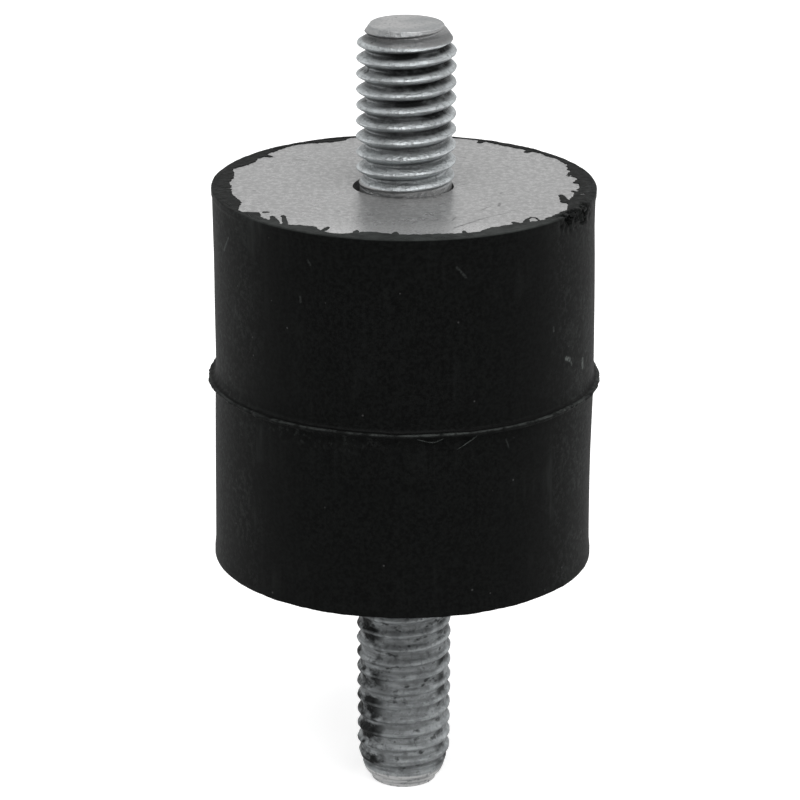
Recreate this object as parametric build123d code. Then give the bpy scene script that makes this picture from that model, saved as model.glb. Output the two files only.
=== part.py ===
from build123d import *
import os

# Cylindrical bobbin mount, male-male: a rubber cylinder with a steel plate moulded
# flush into each end, and a headed M8 stud that goes out through each plate.
# Millimetres. +Z runs up the common axis. The origin is the centre of the lower
# plate's outer face, where the mount seats on what it is screwed into.

# Rubber body
body_diameter = 30.0
body_height = 30.4          # from one outer face to the other
rim_edge_break = 0.12       # where the wall turns into an end face
rim_flare = 0.06            # how far the wall swells towards each end face
rim_flare_height = 1.2
skin_over_plate = 0.7       # rubber outside the plate's edge

# Bead left on the wall where the mould's two halves meet
bead_offset = -0.28         # from mid height
bead_stand_out = 0.55
bead_thickness = 0.3
bead_foot = 0.4             # slope at its foot, along the wall and outwards
bead_edge_break = 0.08      # on the two corners of its nose

# Steel plates, one in each end
plate_thickness = 2.0
plate_bevel_width = 0.45    # outer rim, filled flush by the rubber
plate_bevel_depth = 0.25
hole_gap = 0.45             # radial, between the plate's hole and the stud's neck

# Studs, M8 x 1.25: plain cylinders at the thread's outside diameter
thread_diameter = 7.85
neck_diameter = 7.3         # unthreaded blank, smaller than the rolled thread
neck_stand_out = 0.5        # plain neck between the plate and the first thread
upper_stud_length = 13.0    # from the plate's outer face
upper_end_diameter = 5.7
upper_taper_length = 1.56   # of the stud's point
lower_stud_length = 20.0
lower_end_diameter = 5.35
lower_taper_length = 2.95
lower_shoulder_diameter = 6.4   # where the lower stud's end chamfer meets its slower taper
lower_chamfer_length = 0.75

# Flat round heads, bonded into the rubber behind the plates
head_diameter = 14.0
head_thickness = 3.0
head_edge_break = 0.6       # on the edge away from the plate

body_radius = body_diameter / 2
plate_radius = body_radius - skin_over_plate
hole_radius = neck_diameter / 2 + hole_gap
bead_height = body_height / 2 + bead_offset


def turned(outline, breaks=()):
    """A solid turned about Z from (radius, height) points.

    breaks lists the corners to bevel, as points, each with the bevel's length.
    """
    with BuildPart() as blank:
        with BuildSketch(Plane.XZ) as section:
            with BuildLine():
                Polyline(*outline, close=True)
            make_face()
            for corner, length in breaks:
                chamfer(section.vertices().sort_by_distance(corner)[0], length)
        revolve(axis=Axis.Z)
    return blank.part


def plate_blank():
    """The plate without its hole: outer face at z = 0, facing +Z."""
    flat_radius = plate_radius - plate_bevel_width
    return turned([
        (0, -plate_thickness),
        (plate_radius, -plate_thickness),
        (plate_radius, -plate_bevel_depth),
        (flat_radius, 0),
        (0, 0),
    ])


def plate():
    hole = Cylinder(hole_radius, 2 * plate_thickness)
    return plate_blank() - hole


def stud(length, taper_length, point):
    """A headed stud pointing +Z, with the plate's outer face at z = 0.

    point lists (diameter, distance from the end) where the taper turns, down to the end.
    """
    head_radius = head_diameter / 2
    neck_radius = neck_diameter / 2
    thread_radius = thread_diameter / 2
    head_bottom = -plate_thickness - head_thickness
    thread_start = neck_stand_out + thread_radius - neck_radius
    outline = [
        (0, head_bottom),
        (head_radius, head_bottom),
        (head_radius, -plate_thickness),
        (neck_radius, -plate_thickness),
        (neck_radius, neck_stand_out),
        (thread_radius, thread_start),
        (thread_radius, length - taper_length),
        *[(diameter / 2, length - distance) for diameter, distance in point],
        (0, length),
    ]
    return turned(outline, [(outline[1], head_edge_break)])


def rubber(plate_seats, stud_seats):
    """The moulded rubber, with the room that the plates and the heads take up."""
    rim_radius = body_radius + rim_flare
    nose_radius = body_radius + bead_stand_out
    bead_bottom = bead_height - bead_thickness / 2
    bead_top = bead_height + bead_thickness / 2
    rims = [(rim_radius, 0), (rim_radius, body_height)]
    feet = [(body_radius, bead_bottom), (body_radius, bead_top)]
    noses = [(nose_radius, bead_bottom), (nose_radius, bead_top)]
    outline = [
        (0, 0),
        rims[0],
        (body_radius, rim_flare_height),
        feet[0],
        noses[0],
        noses[1],
        feet[1],
        (body_radius, body_height - rim_flare_height),
        rims[1],
        (0, body_height),
    ]
    block = turned(
        outline,
        [(corner, rim_edge_break) for corner in rims]
        + [(corner, bead_foot) for corner in feet]
        + [(corner, bead_edge_break) for corner in noses],
    )
    for insert in plate_seats + stud_seats:
        block -= insert
    return block


upper_end = Location((0, 0, body_height))
lower_end = Location((0, 0, 0), (180, 0, 0))

upper_point = [(upper_end_diameter, 0)]
lower_point = [(lower_shoulder_diameter, lower_chamfer_length), (lower_end_diameter, 0)]
upper_stud = upper_end * stud(upper_stud_length, upper_taper_length, upper_point)
lower_stud = lower_end * stud(lower_stud_length, lower_taper_length, lower_point)

pieces = {
    "rubber_body": rubber(
        [upper_end * plate_blank(), lower_end * plate_blank()],
        [upper_stud, lower_stud],
    ),
    "upper_plate": upper_end * plate(),
    "lower_plate": lower_end * plate(),
    "upper_stud": upper_stud,
    "lower_stud": lower_stud,
}

os.makedirs("parts", exist_ok=True)
for name, piece in pieces.items():
    export_step(piece, f"parts/{name}.step")
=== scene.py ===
"""The looks of a cylindrical bobbin vibration mount, dressed over its CAD frame.

Shapes are worked out in millimetres, with +Z up the common axis and the lower plate's
outer face at z = 0, as in the frame, and are turned into metres when a mesh is made.
Angles round the axis are counterclockwise seen from above, from +X. The front is -Y.
"""

from math import cos, pi, radians, sin, tan

import bmesh
import bpy
import numpy as np
from mathutils import Matrix, Vector

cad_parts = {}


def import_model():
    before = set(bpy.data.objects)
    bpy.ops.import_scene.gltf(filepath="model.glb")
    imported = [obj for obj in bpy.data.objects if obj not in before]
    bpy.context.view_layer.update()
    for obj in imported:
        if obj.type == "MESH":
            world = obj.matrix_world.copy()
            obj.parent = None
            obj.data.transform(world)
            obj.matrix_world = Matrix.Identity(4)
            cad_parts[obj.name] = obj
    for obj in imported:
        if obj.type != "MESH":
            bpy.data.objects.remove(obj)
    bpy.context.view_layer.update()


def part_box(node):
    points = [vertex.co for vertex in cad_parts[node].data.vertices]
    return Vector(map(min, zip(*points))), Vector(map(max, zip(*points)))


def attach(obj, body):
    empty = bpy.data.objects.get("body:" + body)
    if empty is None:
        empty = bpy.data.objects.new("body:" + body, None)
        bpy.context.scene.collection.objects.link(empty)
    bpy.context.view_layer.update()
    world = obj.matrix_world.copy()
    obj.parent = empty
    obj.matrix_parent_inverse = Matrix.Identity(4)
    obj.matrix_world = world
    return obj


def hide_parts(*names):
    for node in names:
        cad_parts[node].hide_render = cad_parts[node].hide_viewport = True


MM = 0.001

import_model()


def extent(cad_node):
    """A CAD node's radius, lowest z and highest z, in millimetres."""
    low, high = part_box(cad_node)
    return high.x / MM, low.z / MM, high.z / MM


# ---------------------------------------------------------------- sizes

bead_radius, _, body_height = extent("rubber_body")
plate_radius, upper_plate_back, upper_face = extent("upper_plate")
_, lower_face, lower_plate_back = extent("lower_plate")
head_radius, upper_head_bottom, upper_tip = extent("upper_stud")
_, lower_tip, lower_head_top = extent("lower_stud")
plate_thickness = upper_face - upper_plate_back

bead_stand_out = 0.55
body_radius = bead_radius - bead_stand_out
rim_flare = 0.06
rim_radius = body_radius + rim_flare
bead_height = body_height / 2 - 0.28
head_edge_break = 0.6

thread_pitch = 1.25
thread_radius = 3.925
neck_radius = 3.6
half_thread_angle = radians(30)


# ---------------------------------------------------------------- noise

noise_cells = 32            # along each side of the block of cells that the noise repeats
octave_shift = 0.37         # keeps the cells of its octaves from lining up


def smoothstep(low, high, value):
    t = np.clip((value - low) / (high - low), 0, 1)
    return t * t * (3 - 2 * t)


def noise(points, wave, seed, octaves=1):
    """Smooth noise from about -1 to 1 at points (..., 3); one wave is about `wave` long."""
    total = 0
    strength = 1
    for octave in range(octaves):
        lattice = np.random.default_rng(seed + octave).uniform(-1, 1, (noise_cells,) * 3)
        place = np.asarray(points) / wave * 2 + octave_shift * octave
        cell = np.floor(place).astype(int)
        t = place - cell
        t = t * t * (3 - 2 * t)
        for corner in np.ndindex(2, 2, 2):
            weight = np.prod(np.where(corner, t, 1 - t), axis=-1)
            x, y, z = np.moveaxis((cell + corner) % noise_cells, -1, 0)
            total = total + strength * weight * lattice[x, y, z]
        wave = wave / 2
        strength = strength / 2
    return total


def around(angle, radius, height):
    """Points (..., 3) from cylindrical coordinates."""
    angle, radius, height = np.broadcast_arrays(angle, radius, height)
    return np.stack([radius * np.cos(angle), radius * np.sin(angle), height], axis=-1)


def evenly_round(columns):
    """Angles evenly spread round the axis."""
    return np.arange(columns) * 2 * pi / columns


def curve(stations, at):
    """A smooth curve through (place, value) stations, read at `at`."""
    places, values = np.array(stations, float).T
    slopes = np.gradient(values, places)
    first = np.clip(np.searchsorted(places, at) - 1, 0, len(places) - 2)
    span = places[first + 1] - places[first]
    t = np.clip((at - places[first]) / span, 0, 1)
    rise = (values[first + 1] - values[first]) * t * t * (3 - 2 * t)
    bend = slopes[first] * t * (1 - t) ** 2 - slopes[first + 1] * t * t * (1 - t)
    return values[first] + rise + span * bend


def window(angle, centre, half_width):
    """1 near a centre, falling smoothly to 0 at half_width from it.

    The angle is in radians, and the centre and half_width are in degrees.
    """
    away = np.abs((np.degrees(angle) - centre + 180) % 360 - 180)
    return smoothstep(half_width, half_width / 3, away)


# ---------------------------------------------------------------- meshes

def add_object(name, data):
    made = bpy.data.objects.new(name, data)
    bpy.context.scene.collection.objects.link(made)
    return made


def make_piece(name, points, faces, material, sharp=40, flipped=False):
    """A piece of the object, from points in mm. flipped turns it half way round X."""
    points = np.asarray(points, float).reshape(-1, 3)
    if flipped:
        points = points * (1, -1, -1)
    mesh = bpy.data.meshes.new(name)
    mesh.from_pydata((points * MM).tolist(), [], faces)
    mesh.validate()
    mesh.shade_smooth()
    mesh.set_sharp_from_angle(angle=radians(sharp))
    mesh.materials.append(material)
    piece = add_object(name, mesh)
    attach(piece, "root")
    return piece


def lift(piece, height):
    """Moves a piece's mesh up by a height in mm."""
    piece.data.transform(Matrix.Translation((0, 0, height * MM)))


def turned_faces(rings, columns, first=0):
    """Quads between rings of points, each ring closed round Z."""
    faces = []
    for ring in range(rings - 1):
        start = first + ring * columns
        for column in range(columns):
            beside = (column + 1) % columns
            above = start + columns
            faces.append((start + column, start + beside, above + beside, above + column))
    return faces


def fan_faces(start, columns, centre, upwards):
    """Triangles from a ring to a point on the axis."""
    faces = []
    for column in range(columns):
        beside = (column + 1) % columns
        if upwards:
            faces.append((start + column, start + beside, centre))
        else:
            faces.append((start + beside, start + column, centre))
    return faces


def turned_piece(name, rings, material):
    """A closed solid from rings (rings, columns, 3) that go up round Z, closed on the axis."""
    count, columns, _ = rings.shape
    points = rings.reshape(-1, 3)
    bottom = (0, 0, rings[0, :, 2].mean())
    top = (0, 0, rings[-1, :, 2].mean())
    faces = turned_faces(count, columns)
    faces += fan_faces(0, columns, len(points), upwards=False)
    faces += fan_faces((count - 1) * columns, columns, len(points) + 1, upwards=True)
    return make_piece(name, np.vstack([points, bottom, top]), faces, material)


def arc(centre_radius, centre_height, radius, start, end, steps):
    """(radius, height) points along an arc of a section, angles in degrees."""
    turn = np.radians(np.linspace(start, end, steps + 1))
    return [(centre_radius + radius * cos(t), centre_height + radius * sin(t)) for t in turn]


# ---------------------------------------------------------------- node helpers

def node(tree, kind, inputs=None, **settings):
    """Adds a node. inputs maps its sockets to a value or to another node's output."""
    made = tree.nodes.new(kind)
    for key, value in settings.items():
        setattr(made, key, value)
    for socket, value in (inputs or {}).items():
        if isinstance(value, bpy.types.NodeSocket):
            tree.links.new(value, made.inputs[socket])
        else:
            made.inputs[socket].default_value = value
    return made


def calc(tree, operation, *values, clamp=False):
    inputs = dict(enumerate(values))
    return node(tree, "ShaderNodeMath", inputs, operation=operation, use_clamp=clamp).outputs[0]


def times(tree, first, *others):
    total = first
    for value in others:
        total = calc(tree, "MULTIPLY", total, value)
    return total


def strongest(tree, first, *others):
    total = first
    for mask in others:
        total = calc(tree, "MAXIMUM", total, mask)
    return total


def vector_calc(tree, operation, first, second, output="Value"):
    inputs = {0: first, 1: second}
    return node(tree, "ShaderNodeVectorMath", inputs, operation=operation).outputs[output]


def split(tree, vector):
    """The x, y and z of a vector."""
    return node(tree, "ShaderNodeSeparateXYZ", {0: vector}).outputs


def from_axis(tree, x, y):
    """How far from the common axis a place is."""
    return calc(tree, "SQRT", calc(tree, "ADD", times(tree, x, x), times(tree, y, y)))


def stretched(tree, vector, scale):
    """A vector with each of its parts scaled."""
    return node(tree, "ShaderNodeMapping", {"Vector": vector, "Scale": scale}).outputs["Vector"]


def texture_noise(tree, vector, scale, detail=2, roughness=0.5):
    inputs = {"Vector": vector, "Scale": scale, "Detail": detail, "Roughness": roughness}
    return node(tree, "ShaderNodeTexNoise", inputs).outputs["Fac"]


def ramp(tree, value, low, high, start=0.0, end=1.0):
    """start below low, end above high, and smooth between them."""
    inputs = {"Value": value, "From Min": low, "From Max": high, "To Min": start, "To Max": end}
    return node(tree, "ShaderNodeMapRange", inputs, interpolation_type="SMOOTHSTEP").outputs["Result"]


def layered(tree, colour, layers):
    """A colour with others laid over it in turn; layers lists the mask and colour of each."""
    for mask, over in layers:
        # The sockets of a mix node that take colours are 6 and 7, and its colour comes out at 2
        colour = node(tree, "ShaderNodeMix", {0: mask, 6: colour, 7: over}, data_type="RGBA").outputs[2]
    return colour


def new_material(name):
    """An empty material and its tree, with the place on the object in mm."""
    material = bpy.data.materials.new(name)
    material.use_nodes = True
    tree = material.node_tree
    tree.nodes.clear()
    place = node(tree, "ShaderNodeTexCoord").outputs["Object"]
    return material, tree, stretched(tree, place, (1 / MM, 1 / MM, 1 / MM))


def finish_material(tree, inputs, height, strength, depth):
    """Adds the shader, with bumps that are `depth` mm deep over the whole range of height."""
    bump = node(tree, "ShaderNodeBump", {"Height": height, "Strength": strength, "Distance": depth * MM})
    shader = node(tree, "ShaderNodeBsdfPrincipled", inputs | {"Normal": bump.outputs[0]})
    node(tree, "ShaderNodeOutputMaterial", {"Surface": shader.outputs[0]})


def grey(level, tint=(1.0, 1.0, 1.0)):
    return tuple(level * part for part in tint) + (1.0,)


# ---------------------------------------------------------------- marks on a surface

def near_line(tree, place, start, end, width):
    """1 on the straight stretch between two points of the object, 0 from `width` away."""
    run = Vector(end) - Vector(start)
    aside = vector_calc(tree, "SUBTRACT", place, start, "Vector")
    along = vector_calc(tree, "DOT_PRODUCT", aside, tuple(run / run.length_squared))
    along = calc(tree, "ADD", along, 0.0, clamp=True)
    foot = node(tree, "ShaderNodeVectorMath", {0: tuple(run), "Scale": along}, operation="SCALE")
    away = vector_calc(tree, "DISTANCE", aside, foot.outputs["Vector"])
    return ramp(tree, away, 0.35 * width, width, 1.0, 0.0)


def strokes(tree, place, lines, point):
    """Straight strokes on a surface: lines lists both ends, the width and the strength of each.

    point gives the place on the object of an end, from its two measures.
    """
    masks = []
    for *ends, width, strength in lines:
        line = near_line(tree, place, point(*ends[:2]), point(*ends[2:]), width)
        masks.append(times(tree, line, strength))
    return strongest(tree, *masks)


def specks(tree, place, scale, small, large, share):
    """Round specks: a share of the cells of a cell pattern has one."""
    cells = node(tree, "ShaderNodeTexVoronoi", {"Vector": place, "Scale": scale, "Randomness": 1.0})
    speck = ramp(tree, cells.outputs["Distance"], small, large, 1.0, 0.0)
    pick = node(tree, "ShaderNodeSeparateColor", {0: cells.outputs["Color"]}).outputs[0]
    return times(tree, speck, ramp(tree, pick, 1 - share, 1.01 - share))


def on_wall(angle, height):
    """A point on the body's wall; the angle is in degrees."""
    turn = radians(angle)
    return (body_radius * cos(turn), body_radius * sin(turn), height)


def on_upper_face(x, y):
    """A point on the upper plate's face."""
    return (x, y, upper_face)


# Pale scuffs on the wall: angle and height of each end, width, and how pale
wall_scuffs = (
    (-74.7, 28.1, -72.0, 27.3, 0.14, 0.16),
    (-40.3, 21.9, -40.1, 21.6, 0.14, 0.3),
    (-33.5, 18.95, -31.5, 18.7, 0.26, 1.0),
    (-30.8, 18.5, -30.2, 18.2, 0.16, 0.5),
    (-22.5, 18.0, -22.3, 17.4, 0.3, 0.9),
    (-119.0, 28.2, -118.2, 27.9, 0.14, 0.15),
    (-121.7, 25.2, -121.5, 24.8, 0.14, 0.15),
    (-154.0, 28.0, -158.0, 26.7, 0.16, 0.35),
    (-58.5, 13.9, -57.5, 13.2, 0.12, 0.2),
)
# Scratches on the upper plate's face: x and y of each end, width, and how dark
plate_scratches = (
    (3.8, -11.7, 5.9, -9.2, 0.16, 0.8),
    (5.9, -9.2, 8.1, -7.3, 0.10, 0.7),
    (8.2, -6.9, 11.0, -6.2, 0.08, 0.5),
    (8.0, -4.4, 11.6, -5.0, 0.07, 0.4),
    (-8.9, 7.4, -7.9, 7.0, 0.22, 0.5),
    (7.25, -5.7, 7.35, -4.9, 0.16, 0.85),
    (7.45, -2.2, 7.55, -2.0, 0.14, 0.8),
    (3.9, -8.8, 3.6, -9.8, 0.10, 0.7),
    (5.8, -7.0, 6.6, -5.8, 0.09, 0.6),
)


# ---------------------------------------------------------------- materials

rubber_tint = (0.95, 1.04, 1.0)
zinc_tint = (0.96, 1.01, 1.03)


def rubber_material(name, level):
    """Matt black rubber of a plain grey level, with dust, and marks that lie in set places."""
    material, tree, place = new_material(name)
    x, y, z = split(tree, place)
    across = from_axis(tree, x, y)
    above_bead = calc(tree, "SUBTRACT", z, bead_height)
    grain = texture_noise(tree, place, 3.5, detail=4, roughness=0.7)
    blotches = texture_noise(tree, place, 0.25, detail=3)

    # Dust lies in streaks down the wall, and as a film where the wall turns to the sides
    at_sides = ramp(tree, calc(tree, "ABSOLUTE", x), 9.5, 14.0)
    streaks = texture_noise(tree, stretched(tree, place, (1.2, 1.2, 0.12)), 1.0, detail=3)
    streaks = times(
        tree,
        ramp(tree, streaks, 0.45, 0.8),
        ramp(tree, blotches, 0.45, 0.7),
        ramp(tree, at_sides, 0.0, 0.5, 0.3, 1.0),
    )
    film = texture_noise(tree, place, 2.2, detail=4, roughness=0.8)
    film = times(tree, ramp(tree, film, 0.45, 0.62), ramp(tree, blotches, 0.4, 0.6, 0.5, 1.0), at_sides)
    dust = strongest(tree, streaks, film)

    # The ring round the upper plate is greyer at the front
    upper_ring = times(
        tree,
        ramp(tree, z, upper_face - 0.1, upper_face + 0.02),
        ramp(tree, y, -11.5, -7.0, 1.0, 0.05),
        ramp(tree, texture_noise(tree, place, 0.9, detail=3), 0.3, 0.7, 0.5, 1.0),
    )

    # The bead has pale flecks under it, painted shade in its hollow foot, and a painted highlight along
    # the upper edge of its nose
    flecks = times(
        tree,
        ramp(tree, above_bead, -2.2, -0.5),
        ramp(tree, above_bead, -0.25, -0.2, 1.0, 0.0),
        ramp(tree, x, -6.0, 2.0, 0.8, 0.15),
        ramp(tree, texture_noise(tree, place, 2.0, detail=4, roughness=0.7), 0.52, 0.66),
    )
    near_bead = ramp(tree, calc(tree, "ABSOLUTE", above_bead), 0.35, 0.6, 1.0, 0.0)
    # Painted shade in the hollow at the bead's foot
    foot = times(
        tree,
        ramp(tree, across, body_radius + 0.08, body_radius + 0.13),
        near_bead,
        ramp(tree, across, bead_radius - 0.3, bead_radius - 0.2, 1.0, 0.0),
        0.6,
    )
    # Painted highlight along the upper edge of the bead's nose, paler towards the right
    nose = times(
        tree,
        ramp(tree, across, bead_radius - 0.28, bead_radius - 0.16),
        near_bead,
        ramp(tree, above_bead, 0.02, 0.12, 0.1, 1.0),
        ramp(tree, texture_noise(tree, place, 0.9, detail=4, roughness=0.7), 0.42, 0.6, 0.05, 1.0),
        ramp(tree, x, -6.0, 5.0, 0.6, 1.0),
    )

    scuffs = strokes(tree, place, wall_scuffs, on_wall)
    colour = layered(tree, grey(0.6 * level, rubber_tint), (
        (ramp(tree, grain, 0.35, 0.65), grey(1.5 * level, rubber_tint)),
        (dust, grey(level + 0.018, rubber_tint)),
        (upper_ring, grey(0.036, rubber_tint)),
        (flecks, grey(0.022, rubber_tint)),
        (times(tree, specks(tree, place, 0.7, 0.03, 0.075, 0.3), 0.4), grey(0.10)),
        # painted shade at the bead's foot
        (foot, grey(0.001)),
        # painted highlight on the bead's upper edge
        (nose, grey(0.042, rubber_tint)),
        (times(tree, scuffs, ramp(tree, grain, 0.35, 0.55, 0.2, 1.0)), grey(0.12, rubber_tint)),
    ))
    inputs = {
        "Base Color": colour,
        "Roughness": ramp(tree, grain, 0.3, 0.7, 0.52, 0.64),
        "Specular IOR Level": 0.07,
    }
    finish_material(tree, inputs, height=grain, strength=0.25, depth=0.03)
    return material


def plate_material():
    """Zinc-plated steel: cloudy, finely mottled, specked and scratched, with painted shade in front of
    the neck.
    """
    material, tree, place = new_material("plate_steel")
    _, y, _ = split(tree, place)
    cloud = texture_noise(tree, place, 0.35, detail=4, roughness=0.6)
    mottle = texture_noise(tree, place, 2.2, detail=3, roughness=0.65)
    fine = texture_noise(tree, place, 6.0, detail=3, roughness=0.7)
    # Painted shade on the plate just in front of the stud's neck, where the gap round it is dark
    from_neck = vector_calc(tree, "DISTANCE", stretched(tree, place, (1.0, 1.0, 0.0)), (0.08, 0, 0))
    painted_shade = times(tree, ramp(tree, from_neck, 3.9, 4.4, 0.55, 0.0), ramp(tree, y, -3.2, -1.6, 1.0, 0.0))
    scratches = strokes(tree, place, plate_scratches, on_upper_face)
    colour = layered(tree, grey(0.285), (
        (ramp(tree, cloud, 0.35, 0.65), grey(0.32)),
        (ramp(tree, mottle, 0.4, 0.6), grey(0.45)),
        # painted highlight: the steel is lighter towards its front edge
        (ramp(tree, y, -13.0, -9.0, 1.0, 0.0), grey(0.50)),
        (ramp(tree, fine, 0.44, 0.64, 0.0, 0.85), grey(0.275)),
        (times(tree, specks(tree, place, 0.6, 0.05, 0.14, 0.45), 0.7), grey(0.13)),
        # painted shade in front of the neck
        (painted_shade, grey(0.08)),
        (times(tree, scratches, ramp(tree, fine, 0.35, 0.6, 0.5, 1.0)), grey(0.05)),
    ))
    inputs = {
        "Base Color": colour,
        "Metallic": 0.55,
        "Roughness": ramp(tree, cloud, 0.3, 0.7, 0.27, 0.33),
    }
    finish_material(tree, inputs, height=fine, strength=0.4, depth=0.02)
    return material


def stud_material(name, pale, metallic, roughness, root, root_shade, sides, heights, spread,
                  patchy, grain, ends):
    """Zinc-plated thread with dark rubber left in its roots.

    pale is the steel's grey, patchy how uneven that is, and grain how fine its marks are.
    root holds the radii where the rubber in the roots starts to thin and where it ends, and
    root_shade is how dark the painted shade in the roots is elsewhere. sides lists directions to
    which the rubber lies, each with how far that way it starts and how far it is full. heights are
    its lowest place, the place from which it is full, and its highest. spread is how blotchy it
    is: a range of a noise, and how much of it there is at both ends of that range. ends lists
    stretches of another grey: lowest and highest place, grey.
    """
    material, tree, place = new_material(name)
    x, y, z = split(tree, place)
    across = from_axis(tree, x, y)
    lowest, full, highest = heights
    root_full, root_end = root
    cloud = texture_noise(tree, place, 0.8, detail=4, roughness=0.6)
    patches = texture_noise(tree, stretched(tree, place, (0.9, 0.9, 1.3)), 1.0, detail=3, roughness=0.6)
    blots = texture_noise(tree, stretched(tree, place, (0.5, 0.5, 0.8)), 1.0, detail=3, roughness=0.55)
    spots = texture_noise(tree, stretched(tree, place, (1.1, 1.1, 1.7)), 1.0)
    fine = texture_noise(tree, place, grain, detail=3, roughness=0.6)
    squeezed = stretched(tree, place, (0.25, 0.25, 1.6 * grain))
    rings = texture_noise(tree, squeezed, 1.0, detail=3, roughness=0.6)

    # The rubber lies in large blots on its sides, and in small spots all round
    near_sides = []
    for side_x, side_y, thin, thick in sides:
        towards = vector_calc(tree, "DOT_PRODUCT", place, (side_x, side_y, 0))
        near_sides.append(ramp(tree, towards, thin, thick))
    blots = times(tree, strongest(tree, *near_sides), ramp(tree, blots, *spread))
    spots = ramp(tree, spots, 0.58, 0.7, 0.25, 0.85)
    held = times(tree, ramp(tree, z, lowest, full), ramp(tree, z, highest - 0.8, highest, 1.0, 0.0))
    in_root = times(tree, ramp(tree, across, root_full, root_end, 1.0, 0.0), held)
    rubber = times(tree, strongest(tree, blots, spots), in_root)

    # Painted shade: the roots are darkened all round, in rings, as shade falls in them
    painted_shade = times(
        tree,
        ramp(tree, across, root_full - 0.25, root_end - 0.1, 1.0, 0.0),
        root_shade,
        ramp(tree, rings, 0.4, 0.6, 0.55, 1.0),
        ramp(tree, z, highest - 0.3, highest, 1.0, 0.0),
    )
    stretches = []
    for low, high, level in ends:
        above = ramp(tree, z, low - 0.05, low + 0.05)
        below = ramp(tree, z, high - 0.05, high + 0.05, 1.0, 0.0)
        stretches.append((times(tree, above, below), grey(level)))
    colour = layered(tree, grey((1 - patchy) * pale, zinc_tint), (
        (ramp(tree, patches, 0.35, 0.65), grey(pale, zinc_tint)),
        *stretches,
        (ramp(tree, rings, 0.42, 0.68, 0.0, 0.7), grey(0.5 * pale, zinc_tint)),
        (ramp(tree, fine, 0.52, 0.7, 0.0, 0.8), grey(0.45 * pale, zinc_tint)),
        # painted shade in the roots
        (painted_shade, grey(0.06, zinc_tint)),
        (times(tree, rubber, 0.97), grey(0.003, rubber_tint)),
    ))
    inputs = {
        "Base Color": colour,
        "Metallic": times(tree, calc(tree, "SUBTRACT", 1.0, rubber), metallic),
        "Specular IOR Level": 0.05,
        "Roughness": ramp(tree, cloud, 0.3, 0.7, roughness - 0.04, roughness + 0.05),
    }
    marks = calc(tree, "ADD", fine, times(tree, rings, 0.3))
    finish_material(tree, inputs, height=marks, strength=1.0, depth=0.12)
    return material


rubber_finish = rubber_material("rubber", 0.0045)
dusty_finish = rubber_material("rubber_dusty", 0.035)
plate_finish = plate_material()
upper_stud_finish = stud_material(
    "stud_steel_upper",
    pale=0.68,
    metallic=0.9,
    roughness=0.43,
    root=(3.35, 3.82),
    root_shade=0.65,
    sides=((0.5, -0.87, -0.8, 2.6),),
    heights=(upper_face + 1.0, upper_face + 6.0, upper_tip - 0.4),
    spread=(0.3, 0.55, 0.6, 1.0),
    patchy=0.25,
    grain=3.5,
    ends=(
        (upper_face - 1.0, upper_face + 0.5, 0.38),
        (upper_tip - 1.15, upper_tip - 0.06, 0.36),
        (upper_tip - 0.06, upper_tip + 1.0, 0.54),
    ),
)
lower_stud_finish = stud_material(
    "stud_steel_lower",
    pale=0.52,
    metallic=0.72,
    roughness=0.5,
    root=(3.62, 3.88),
    root_shade=0.15,
    sides=((-0.92, -0.39, 1.9, 3.2), (0.98, -0.2, 2.9, 3.5)),
    heights=(lower_tip + 1.3, lower_tip + 2.1, lower_face - 2.0),
    spread=(0.37, 0.58),
    patchy=0.4,
    grain=2.2,
    ends=((lower_tip - 1.0, lower_tip + 1.25, 0.7),),
)


# ---------------------------------------------------------------- threaded studs

stud_columns = 160
rows_per_pitch = 26
thread_sharp = 50           # degrees between faces from which their edge is sharp
grid_start = 0.02           # from the plate to the first row of the thread's grid
grid_end = 0.03             # from its last row to the end face
end_edge_break = 0.05
neck_ring = 0.5             # how deep in the plate's hole the last ring of points on the neck is

# Heights past the plate between which the neck swells, and the crests and roots form
swell_heights = (0.1, 0.5)
crest_heights = (0.2, 1.4)
root_heights = (0.3, 1.1)
neck_swell = 0.08
crest_drop_from = 1.1       # how far from the end the crests start to lose height
crest_drop_to = 0.3         # how far from the end they have lost it
root_drop_length = 1.2      # the stretch over which the roots lose theirs

# The seam that rolling leaves along a crest, which ends where the point cuts into the thread
seam_depth = 0.06
seam_half_width = 0.08

# Heights are from the plate, outwards. crest_height is where a crest passes angle 0, and
# crest_loss how much radius the crests lose from the plate to the end. end_drops are what roots
# and crests lose near the end, and where the roots start to. point is the stud's tapered end:
# radii at distances from the end. The axis leans from axis_start at the plate to axis_end.
upper_thread = {
    "length": upper_tip - upper_face,
    "head_bottom": upper_head_bottom - upper_face,
    "crest_height": 9.615,
    "crest_radius": thread_radius,
    "crest_loss": 0.0,
    "crest_width": 0.16,
    "crest_softness": 0.24,
    "root_radius": 3.15,
    "root_softness": 0.2,
    "end_drops": (0.32, 0.25, 1.5),
    "point": ((0, 2.85), (4, 5.6)),
    "wear": 0.02,
    "seed": 11,
    "axis_start": 0.075,
    "axis_end": 0.075,
    "flipped": False,
}
lower_thread = {
    "length": lower_face - lower_tip,
    "head_bottom": lower_face - lower_head_top,
    "crest_height": 12.14,
    "crest_radius": 3.84,
    "crest_loss": 0.07,
    "crest_width": 0.3,
    "crest_softness": 0.35,
    "root_radius": 3.54,
    "root_softness": 0.15,
    "end_drops": (0.42, 0.0, 2.7),
    "point": (
        (0, 2.61), (0.2, 2.66), (0.5, 2.87), (0.85, 3.16), (1.2, 3.29), (1.75, 3.45), (3, 3.86), (5, 4.5),
    ),
    "wear": 0.03,
    "seed": 23,
    "axis_start": 0.095,
    "axis_end": 0.185,
    "flipped": True,
}


def softer_min(first, second, blend):
    """The smaller of two values, rounded where they cross."""
    h = np.clip(0.5 + 0.5 * (second - first) / blend, 0, 1)
    return second * (1 - h) + first * h - blend * h * (1 - h)


def softer_max(first, second, blend):
    return -softer_min(-first, -second, blend)


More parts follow.
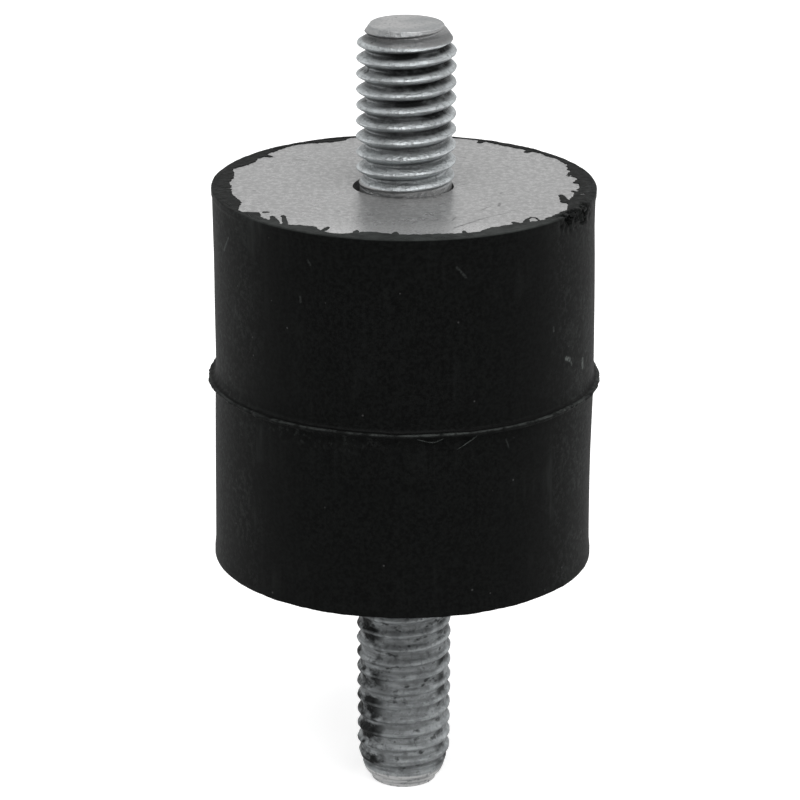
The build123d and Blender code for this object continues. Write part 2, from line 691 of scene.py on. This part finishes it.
def threaded_radius(angle, height, thread):
    """The stud's radius over its threaded stretch and its point."""
    length = thread["length"]
    root_drop, crest_drop, last_turn = thread["end_drops"]
    turns = (height - thread["crest_height"]) / thread_pitch - angle / (2 * pi)
    off_crest = np.abs(turns - np.round(turns)) * thread_pitch
    formed = smoothstep(*crest_heights, height)
    crest_radius = thread["crest_radius"] - thread["crest_loss"] * height / length
    crest = neck_radius + neck_swell * smoothstep(*swell_heights, height)
    crest = crest + (crest_radius - neck_radius - neck_swell) * formed
    crest = crest - crest_drop * smoothstep(length - crest_drop_from, length - crest_drop_to, height)
    drop_start = length - last_turn
    root = neck_radius + (thread["root_radius"] - neck_radius) * smoothstep(*root_heights, height)
    root = root - root_drop * smoothstep(drop_start, drop_start + root_drop_length, height)
    place = around(angle, thread_radius, height)
    crest = crest + thread["wear"] * noise(place, 1.1, thread["seed"], octaves=3)
    flank = crest + thread["crest_width"] - off_crest / tan(half_thread_angle)
    radius = softer_min(flank, crest, thread["crest_softness"])
    radius = softer_max(radius, root, thread["root_softness"])
    point = curve(thread["point"], length - height)
    seam = seam_depth * np.exp(-((off_crest / seam_half_width) ** 2))
    seam = seam * smoothstep(0.3, 0.05, point - radius)
    return softer_min(radius - seam, point, 0.06)


def stud_piece(name, material, thread):
    """A headed stud with a rolled right-hand thread, pointing up from a plate at z = 0."""
    columns = stud_columns
    angle = evenly_round(columns)
    length, head_bottom = thread["length"], thread["head_bottom"]

    # Each row climbs a pitch on its way round, and joins the row a pitch above it. So the rows
    # start too low and end too high, and what is past the grid's ends is pressed onto them
    start, end = grid_start, length - grid_end
    step = thread_pitch / rows_per_pitch
    rows = int((end - start) / thread_pitch * rows_per_pitch) + 2 * rows_per_pitch + 4
    level = start - thread_pitch - 2 * step + np.arange(rows) * thread_pitch / rows_per_pitch
    height = level[:, None] + thread_pitch * angle[None, :] / (2 * pi)
    height = np.clip(height, start, end)
    radius = threaded_radius(angle[None, :], height, thread)
    grid = around(angle[None, :], radius, height).reshape(-1, 3)

    below = [
        (0.4 * head_radius, head_bottom),
        (head_radius - head_edge_break, head_bottom),
        (head_radius, head_bottom + head_edge_break),
        (head_radius, -plate_thickness),
        (neck_radius, -plate_thickness),
        (neck_radius, -neck_ring),
    ]
    face_radius = radius[-1, 0]
    end_face = [
        (face_radius - end_edge_break, length),
        (face_radius - 2 * end_edge_break, length),
        (0.5 * face_radius, length),
    ]
    below_rings = [around(angle, r, z) for r, z in below]
    end_rings = [around(angle, r, z) for r, z in end_face]
    points = np.vstack(below_rings + [grid] + end_rings + [(0, 0, head_bottom), (0, 0, length)])
    lean = (thread["axis_end"] - thread["axis_start"]) * np.clip(points[:, 2], 0, length) / length
    points[:, 0] += (thread["axis_start"] + lean) * smoothstep(-plate_thickness, 0.0, points[:, 2])

    first = len(below) * columns
    top = first + rows * columns
    faces = fan_faces(0, columns, len(points) - 2, upwards=False)
    faces += turned_faces(len(below) + 1, columns)
    for row in range(rows - 1):
        for column in range(columns):
            here = first + row * columns + column
            if column < columns - 1:
                beside = here + 1
            elif row + rows_per_pitch + 1 < rows:
                beside = first + (row + rows_per_pitch) * columns
            else:
                continue
            faces.append((here, beside, beside + columns, here + columns))
    faces += turned_faces(len(end_face) + 1, columns, top - columns)
    faces += fan_faces(top + (len(end_face) - 1) * columns, columns, len(points) - 1, upwards=True)
    piece = make_piece(name, points, faces, material, sharp=thread_sharp, flipped=thread["flipped"])
    merge_doubles(piece)
    return piece


def merge_doubles(piece):
    """Joins the points of a stud's grid that are pressed into one at both of its ends."""
    shape = bmesh.new()
    shape.from_mesh(piece.data)
    bmesh.ops.remove_doubles(shape, verts=shape.verts, dist=0.002 * MM)
    bmesh.ops.dissolve_degenerate(shape, edges=shape.edges, dist=0.0005 * MM)
    shape.to_mesh(piece.data)
    shape.free()
    piece.data.shade_smooth()
    piece.data.set_sharp_from_angle(angle=radians(thread_sharp))


upper_stud = stud_piece("stud_upper_threaded", upper_stud_finish, upper_thread)
lift(upper_stud, upper_face)
lower_stud = stud_piece("stud_lower_threaded", lower_stud_finish, lower_thread)
for piece, cad_node in ((upper_stud, "upper_stud"), (lower_stud, "lower_stud")):
    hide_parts(cad_node)


# ---------------------------------------------------------------- rubber body

body_columns = 960
bead_thickness = 0.3
bead_foot = 0.35            # radius of the hollow at its foot
steel_reach = 0.45          # how far past the plate's radius its steel shows, except at the front right
ring_proud = 0.05           # the rubber ring round each plate stands a little proud of it
ring_depth = 0.22           # how far down the wall its unevenness goes
seat_inner = plate_radius - 0.03
lower_rounding = 0.07       # where the wall turns into an end face
upper_rounding = 0.1
rim_flare_height = 0.6

# Heights of the rings of points on the wall, from the nearer end face
lower_wall = [0.2, 0.5, 1.2, 2.5, 4.5, 6.5, 9.0, 11.5, 13.2]
upper_wall = [*np.linspace(0.12, 1.7, 14), 2.2, 3.0, 4.0, 5.5, 7.5, 9.5, 11.5, 13.5, 14.3]

# How far the wall leans to +X, and how far it swells, at heights up the body
wall_lean = (
    (0, -0.02), (5, -0.035), (10, 0), (13, 0.05), (17, 0.083), (20, 0.05), (25, 0), (28, -0.07),
    (30.5, -0.06),
)
wall_swell = (
    (0, 0.045), (4, 0), (10, 0), (13, 0.03), (16, 0), (20, 0.015), (25, 0), (28, 0), (30.5, 0.05),
)

# Holes chewed in the top rim: the angle of the middle and half the width, in degrees, and the
# heights where a hole starts and where it is full
chewed_holes = (
    (-22.3, 3.0, 29.0, 29.2),
    (-29.3, 3.6, 29.45, 29.65),
    (-33.3, 1.8, 29.6, 29.75),
)
chewed_depth = 0.5
nibbled_depth = 0.2         # of the small bites round the holes


def bead_section():
    half = bead_thickness / 2
    foot = arc(body_radius + bead_foot, bead_height - half - bead_foot, bead_foot, 180, 90, 5)
    nose = arc(bead_radius - half, bead_height, half, -90, 90, 7)
    return foot + nose + [(r, 2 * bead_height - z) for r, z in foot][::-1]


def end_section(rounding, ring_rows, wall_heights):
    """(radius, height) points of one end, from the axis out over its ring and up the wall.

    Heights count from the end's face into the body.
    """
    plate_back = lower_plate_back - lower_face
    head_back = lower_head_top - lower_face
    hidden = [
        (0.5 * head_radius, head_back),
        (head_radius - head_edge_break, head_back),
        (head_radius, head_back - head_edge_break),
        (head_radius, plate_back),
        (seat_inner, plate_back),
        (seat_inner, 0.03),
    ]
    ring_outer = rim_radius - rounding
    steps = np.linspace(0, 1, ring_rows)
    ring = [(seat_inner + (ring_outer - seat_inner) * t, -ring_proud) for t in steps]
    edge = arc(ring_outer, rounding - ring_proud, rounding, -90, 0, 4)[1:]
    wall = [(body_radius + rim_flare * (z < rim_flare_height), z) for z in wall_heights]
    return hidden + ring + edge + wall


def steel_beyond(angle):
    """How far the steel goes past the plate's radius: not where the rim is chewed."""
    return steel_reach * (1 - window(angle, -28, 30))


def torn_depth(angle, radius, height):
    """How deep the chewed holes at the front right of the top rim go below its surface."""
    holes = 0
    for centre, half_width, low, high in chewed_holes:
        holes = np.maximum(holes, window(angle, centre, half_width) * smoothstep(low, high, height))
    ragged = noise(around(angle, radius, height), 0.7, 41, octaves=3)
    holes = chewed_depth * holes * smoothstep(-0.4, -0.05, ragged)
    nibbled = nibbled_depth * window(angle, -27, 14) * smoothstep(28.8, 29.5, height)
    outside = smoothstep(plate_radius + 0.1, plate_radius + 0.25, radius)
    return outside * (holes + nibbled * np.maximum(ragged + 0.3, 0))


def rubber_points():
    lower = end_section(lower_rounding, 5, lower_wall)
    upper = end_section(upper_rounding, 7, upper_wall)
    section = np.array(lower + bead_section() + [(r, body_height - z) for r, z in upper][::-1])
    along = np.gradient(section, axis=0)
    outward = np.stack([along[:, 1], -along[:, 0]], axis=1)
    outward /= np.linalg.norm(outward, axis=1, keepdims=True)

    angle = evenly_round(body_columns)[None, :]
    radius = np.repeat(section[:, :1], body_columns, axis=1)
    height = np.repeat(section[:, 1:], body_columns, axis=1)
    from_face = body_height / 2 - np.abs(height - body_height / 2)
    shown = smoothstep(plate_radius, rim_radius - 0.2, radius)
    on_bead = smoothstep(0.02, 0.2, radius - body_radius) * (np.abs(height - bead_height) < 1)

    # The inner edge of each end's ring, with the seat behind it, goes out to where the steel ends
    ring_outer = rim_radius - upper_rounding
    inward = np.clip((ring_outer - radius) / (ring_outer - seat_inner), 0, 1)
    on_seat = (radius > seat_inner - 0.01) * (from_face < plate_thickness + 0.1)
    radius = radius + steel_beyond(angle) * inward * on_seat
    on_ring = smoothstep(seat_inner, seat_inner + 0.1, radius) * (from_face < ring_depth)

    place = around(angle, radius, height)
    bead_place = around(angle, bead_radius, 0 * height)
    wall = curve(wall_lean, height) * np.cos(angle) + curve(wall_swell, height)
    wall = wall + 0.012 * noise(place, 4.0, 3, octaves=3)
    bead = -0.04 * np.cos(angle) + 0.05 * noise(bead_place, 5.0, 5, octaves=3)
    bead = bead + 0.05 * noise(place, 0.9, 19, octaves=2)
    torn_edge = noise(around(angle, radius, 4 * height), 1.2, 9, octaves=2)
    torn_edge = window(angle, -135, 22) * 0.10 * torn_edge
    depth = torn_depth(angle, radius, height)
    moved = radius + shown * wall + on_bead * (bead + torn_edge) - depth * outward[:, :1]
    lifted = height + on_bead * 0.05 * noise(bead_place, 6.0, 7, octaves=4) - depth * outward[:, 1:]
    lifted = lifted + on_ring * 0.025 * noise(place, 1.6, 15, octaves=3)
    return around(angle, moved, lifted)


def strand(name, points, thickness, material):
    """A thin strand through points, in mm, its ends drawn to a point."""
    path = bpy.data.curves.new(name, "CURVE")
    path.dimensions = "3D"
    path.bevel_depth = thickness / 2 * MM
    path.bevel_resolution = 3
    spline = path.splines.new("NURBS")
    spline.points.add(len(points) - 1)
    for index, (x, y, z) in enumerate(points):
        spline.points[index].co = (x * MM, y * MM, z * MM, 1)
        spline.points[index].radius = 0.4 if index in (0, len(points) - 1) else 1
    spline.order_u = 3
    spline.use_endpoint_u = True
    route = bpy.data.objects.new(name, path)
    mesh = bpy.data.meshes.new_from_object(route)
    bpy.data.objects.remove(route)
    mesh.shade_smooth()
    mesh.materials.clear()
    mesh.materials.append(material)
    piece = add_object(name, mesh)
    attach(piece, "root")
    return piece


rubber_body = turned_piece("rubber_body_moulded", rubber_points(), rubber_finish)
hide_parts("rubber_body")

# Threads of rubber torn off the bead: the angle, height and clearance from the wall of each point
torn_threads = {
    "rubber_whisker": (
        (-74.3, 13.6, 0.03), (-72.8, 13.8, 0.05), (-71.2, 14.1, 0.12), (-69.8, 14.4, 0.3),
        (-68.6, 14.75, 0.48),
    ),
    "rubber_fray": (
        (-86.0, 14.75, 0.5), (-83.8, 14.5, 0.3), (-81.6, 14.35, 0.2), (-79.8, 14.5, 0.3),
        (-78.6, 14.75, 0.48),
    ),
}
for thread_name, stations in torn_threads.items():
    points = []
    for turn, height, clear in stations:
        x, y, z = on_wall(turn, height)
        points.append((x * (1 + clear / body_radius), y * (1 + clear / body_radius), z))
    strand(thread_name, points, thickness=0.1, material=dusty_finish)


# ---------------------------------------------------------------- rubber flash over the plates

flash_columns = 1200
flash_radii = np.arange(11.8, plate_radius + steel_reach + 0.03, 0.065)
flash_thickness = 0.045
flash_slope = 0.8           # how fast it gets thicker from its edge inwards
flash_dip = 0.03            # how far below the steel it lies where there is none

# How far out the steel shows, in mm, at angles round the upper plate
upper_edge = (
    (-180, 13.6), (-167, 13.6), (-155, 13.9), (-152, 14.5), (-148, 14.7), (-145, 13.7), (-141, 14.0),
    (-133, 14.4), (-127, 14.0), (-124, 13.6), (-120, 13.5), (-117, 14.0), (-108, 14.1), (-104, 13.4),
    (-94, 13.4), (-89, 13.5), (-76, 13.6), (-68, 13.9), (-62, 13.4), (-54, 13.4), (-46, 13.75),
    (-42, 14.05), (-34, 14.0), (-26, 14.0), (-22, 13.5), (-18, 13.35), (-12, 13.35), (-8, 13.4),
    (0, 13.7), (5, 13.4), (8, 13.7), (11, 13.4), (20, 13.8), (27, 14.3), (36, 14.4), (60, 14.4),
    (70, 15.0), (106, 15.0), (110, 14.2), (120, 14.2), (126, 14.6), (137, 14.2), (150, 13.8),
    (155, 13.6), (162, 14.2), (168, 13.8), (180, 13.6),
)
# Strips of rubber that reach further in: the angle and radius of two ends, and half the width at each
upper_strips = (
    (-144.2, 13.34, -143.3, 13.0, 0.12, 0.13),
    (-138.3, 13.5, -133.0, 14.4, 0.20, 0.40),
    (-136.4, 12.8, -129.3, 14.2, 0.20, 0.22),
    (-116.2, 13.1, -115.8, 13.9, 0.15, 0.25),
    (-106.0, 13.1, -105.6, 14.0, 0.15, 0.3),
    (-93.0, 13.05, -93.0, 13.6, 0.2, 0.3),
    (-70.5, 13.35, -70.6, 14.2, 0.15, 0.25),
    (-51.0, 13.15, -51.0, 13.8, 0.2, 0.4),
    (-48.5, 13.9, -45.3, 13.25, 0.30, 0.20),
    (-45.3, 13.25, -42.6, 13.05, 0.20, 0.09),
    (-42.6, 13.05, -41.5, 13.35, 0.09, 0.07),
    (-41.5, 13.35, -43.2, 14.1, 0.07, 0.09),
    (-12.5, 12.45, -19.5, 13.2, 0.22, 0.42),
    (-6.3, 13.15, -8.0, 13.7, 0.12, 0.25),
    (45.5, 13.95, 45.5, 14.6, 0.25, 0.4),
    (64.5, 14.15, 64.5, 14.8, 0.25, 0.4),
    (143.2, 13.55, 143.2, 14.6, 0.25, 0.4),
)
# Slits and windows in the rubber where steel shows, in the same way
upper_slits = (
    (-175.0, 13.5, -175.0, 14.3, 0.06, 0.04),
    (-136.0, 13.1, -130.6, 14.4, 0.08, 0.05),
    (-43.3, 13.38, -44.2, 13.9, 0.09, 0.12),
    (-9.5, 13.9, -9.3, 14.1, 0.08, 0.08),
)
# Places where the lower flash reaches further in: the angle, half the width in degrees, and how far
lower_edge_radius = 13.85
lower_tongues = ((150, 4, 0.5), (-60, 3, 0.6), (20, 6, 0.4))


def strip_depth(x, y, strip):
    """How far inside a strip a point is, in mm; negative outside it."""
    first_angle, first_radius, last_angle, last_radius, first_half, last_half = strip
    start = (first_radius * cos(radians(first_angle)), first_radius * sin(radians(first_angle)))
    end = (last_radius * cos(radians(last_angle)), last_radius * sin(radians(last_angle)))
    run = np.subtract(end, start)
    t = np.clip(((x - start[0]) * run[0] + (y - start[1]) * run[1]) / (run @ run), 0, 1)
    away = np.hypot(x - start[0] - t * run[0], y - start[1] - t * run[1])
    return first_half + (last_half - first_half) * t - away


def upper_cover(x, y):
    """How far inside the upper flash a point is, in mm; negative on bare steel."""
    angle = np.arctan2(y, x)
    place = np.stack([x, y, 0 * x], axis=-1)
    edge = curve(upper_edge, np.degrees(angle))
    edge = edge + 0.10 * noise(place, 1.2, 51, octaves=2) + 0.09 * noise(place, 0.42, 55, octaves=2)
    edge = edge + 0.20 * window(angle, 4, 30) * noise(place, 0.55, 57, octaves=2)
    cover = np.hypot(x, y) - edge
    for strip in upper_strips:
        cover = np.maximum(cover, strip_depth(x, y, strip) + 0.05 * noise(place, 0.4, 53, octaves=2))
    for slit in upper_slits:
        cover = np.minimum(cover, -strip_depth(x, y, slit))
    # Nothing hangs over the chewed holes in the rim
    return np.minimum(cover, plate_radius + steel_beyond(angle) + 0.06 - np.hypot(x, y))


def lower_cover(x, y):
    """The same for the lower flash, which is plainer."""
    angle = np.arctan2(y, x)
    place = np.stack([x, y, 0 * x], axis=-1)
    edge = lower_edge_radius + 0.16 * noise(place, 5.0, 61, octaves=2)
    edge = edge + 0.10 * noise(place, 1.2, 63, octaves=3)
    for centre, half_width, reach in lower_tongues:
        edge = edge - reach * window(angle, centre, half_width)
    return np.hypot(x, y) - edge


def flash_piece(name, cover, seed, face, flipped):
    """A thin ragged skin of rubber on a plate; it dips below the steel where there is none."""
    points = around(evenly_round(flash_columns)[None, :], flash_radii[:, None], 0.0)
    inside = cover(points[..., 0], points[..., 1])
    thickness = flash_thickness * (1 + 0.35 * noise(points, 0.9, seed, octaves=2))
    points[..., 2] = np.clip(flash_slope * inside, -flash_dip, thickness)
    held = (points[..., 2] > 0.001 - flash_dip).ravel()
    faces = []
    for corners in turned_faces(len(flash_radii), flash_columns):
        if held[list(corners)].any():
            faces.append(corners[::-1])
    used = sorted({corner for corners in faces for corner in corners})
    renumbered = {old: new for new, old in enumerate(used)}
    faces = [[renumbered[corner] for corner in corners] for corners in faces]
    points = points.reshape(-1, 3)[used]
    piece = make_piece(name, points, faces, rubber_finish, sharp=60, flipped=flipped)
    lift(piece, face)


flash_piece("rubber_flash_upper", upper_cover, 71, upper_face, flipped=False)
flash_piece("rubber_flash_lower", lower_cover, 73, lower_face, flipped=True)


# ---------------------------------------------------------------- plates

plate_columns = 256
hole_radius = 3.95
hole_edge = 0.06            # rounding of the hole's edge


def plate_piece(name, cad_node, hole_centre, pressed, face, flipped):
    """A plate with its outer face up at z = 0: a ring whose hole is a little off centre.

    pressed is how far the hole's edge is pressed in towards the stud's neck at the front.
    """
    angle = evenly_round(plate_columns)
    pressed = pressed * window(angle, -90, 92)
    hole = [(hole_radius, -plate_thickness)]
    hole += arc(hole_radius + hole_edge, -hole_edge, hole_edge, 180, 90, 3)
    edge_radius = plate_radius + steel_beyond(-angle if flipped else angle)
    outer = [(0.6 * plate_radius, 0), (edge_radius, 0), (edge_radius, -plate_thickness)]
    rings = []
    for radius, height in hole:
        rings.append(around(angle, radius - pressed, height) + (*hole_centre, 0))
    for radius, height in outer:
        rings.append(around(angle, radius, height))
    faces = []
    for corners in turned_faces(len(rings), plate_columns):
        faces.append(corners[::-1])
    last = (len(rings) - 1) * plate_columns
    for column in range(plate_columns):
        beside = (column + 1) % plate_columns
        faces.append((column, beside, last + beside, last + column))
    piece = make_piece(name, np.array(rings), faces, plate_finish, flipped=flipped)
    lift(piece, face)
    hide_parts(cad_node)


plate_piece(
    "plate_upper_plated", "upper_plate", hole_centre=(-0.12, -0.28), pressed=0.5, face=upper_face,
    flipped=False,
)
plate_piece(
    "plate_lower_plated", "lower_plate", hole_centre=(0.1, 0.0), pressed=0.0, face=lower_face,
    flipped=True,
)


# ---------------------------------------------------------------- floor, world and lights

floor_size = 3.0            # metres


def by_ray(tree, shown, mirrored, other):
    """One shader for the camera, one for reflections and one for all other light."""
    rays = node(tree, "ShaderNodeLightPath").outputs
    mirror = strongest(tree, rays["Is Glossy Ray"], rays["Is Transmission Ray"])
    inner = node(tree, "ShaderNodeMixShader", {0: mirror, 1: other, 2: mirrored}).outputs[0]
    return node(tree, "ShaderNodeMixShader", {0: rays["Is Camera Ray"], 1: inner, 2: shown}).outputs[0]


def floor():
    """A white floor that keeps the object's shadow, and is darker in reflections at the front."""
    half = floor_size / 2
    mesh = bpy.data.meshes.new("floor")
    corners = [(-half, -half, 0), (half, -half, 0), (half, half, 0), (-half, half, 0)]
    mesh.from_pydata(corners, [], [(0, 1, 2, 3)])
    piece = add_object("floor", mesh)
    piece.location = (0, 0, lower_tip * MM)
    material, tree, place = new_material("floor")
    paint = node(tree, "ShaderNodeBsdfDiffuse", {"Color": grey(0.9)}).outputs[0]
    glow = node(tree, "ShaderNodeEmission", {"Strength": 0.5}).outputs[0]
    shown = node(tree, "ShaderNodeAddShader", {0: paint, 1: glow}).outputs[0]
    _, y, _ = split(tree, place)
    level = ramp(tree, y, -120, 100, 0.32, 0.95)
    mirrored = node(tree, "ShaderNodeEmission", {"Strength": level}).outputs[0]
    other = node(tree, "ShaderNodeBsdfDiffuse", {"Color": grey(0.5)}).outputs[0]
    node(tree, "ShaderNodeOutputMaterial", {"Surface": by_ray(tree, shown, mirrored, other)})
    mesh.materials.append(material)


def world():
    """A white studio, which reflects darker from the front and from overhead."""
    made = bpy.data.worlds.new("studio")
    bpy.context.scene.world = made
    made.use_nodes = True
    tree = made.node_tree
    tree.nodes.clear()
    direction = node(tree, "ShaderNodeTexCoord").outputs["Generated"]
    _, y, z = split(tree, direction)
    level = times(tree, ramp(tree, y, -0.35, 0.45, 0.08, 1.0), ramp(tree, z, 0.6, 0.95, 1.0, 0.55))
    shown = node(tree, "ShaderNodeBackground", {"Strength": 1.0}).outputs[0]
    mirrored = node(tree, "ShaderNodeBackground", {"Strength": level}).outputs[0]
    other = node(tree, "ShaderNodeBackground", {"Strength": 0.6}).outputs[0]
    node(tree, "ShaderNodeOutputWorld", {"Surface": by_ray(tree, shown, mirrored, other)})


def lamp(name, place, size, power):
    """A rectangular softbox aimed at the body's middle; its place and size are in metres."""
    light = bpy.data.lights.new(name, "AREA")
    light.shape = "RECTANGLE"
    light.size, light.size_y = size
    light.energy = power
    piece = add_object(name, light)
    piece.location = place
    aim = Vector((0, 0, body_height / 2 * MM)) - Vector(place)
    piece.rotation_euler = aim.to_track_quat("-Z", "Y").to_euler()
    piece.visible_camera = False


def camera():
    """The photograph's view: 18.5 degrees above the horizon, 315 mm from the body's middle."""
    distance = 0.31459
    elevation = radians(18.54)
    pitch, yaw, roll = radians(-18.987), radians(-0.054), radians(0.317)
    forward = Vector((sin(yaw) * cos(pitch), cos(yaw) * cos(pitch), sin(pitch)))
    side = forward.cross(Vector((0, 0, 1))).normalized()
    up = side.cross(forward)
    right = cos(roll) * side + sin(roll) * up
    top = -sin(roll) * side + cos(roll) * up
    data = bpy.data.cameras.new("camera")
    data.sensor_width = 36
    data.lens = 177.92
    data.clip_start = 0.01
    piece = add_object("camera", data)
    place = Vector((0, -distance * cos(elevation), body_height / 2 * MM + distance * sin(elevation)))
    turn = Matrix((right, top, -forward)).transposed().to_4x4()
    piece.matrix_world = Matrix.Translation(place) @ turn
    bpy.context.scene.camera = piece


floor()
world()
lamp("key", (0.08, -0.40, 0.62), (0.8, 0.7), 5.0)
lamp("left", (-0.75, 0.05, 0.15), (0.55, 0.75), 1.25)
lamp("right", (0.75, 0.05, 0.15), (0.55, 0.75), 1.25)
camera()
bpy.context.scene.view_settings.view_transform = "Standard"
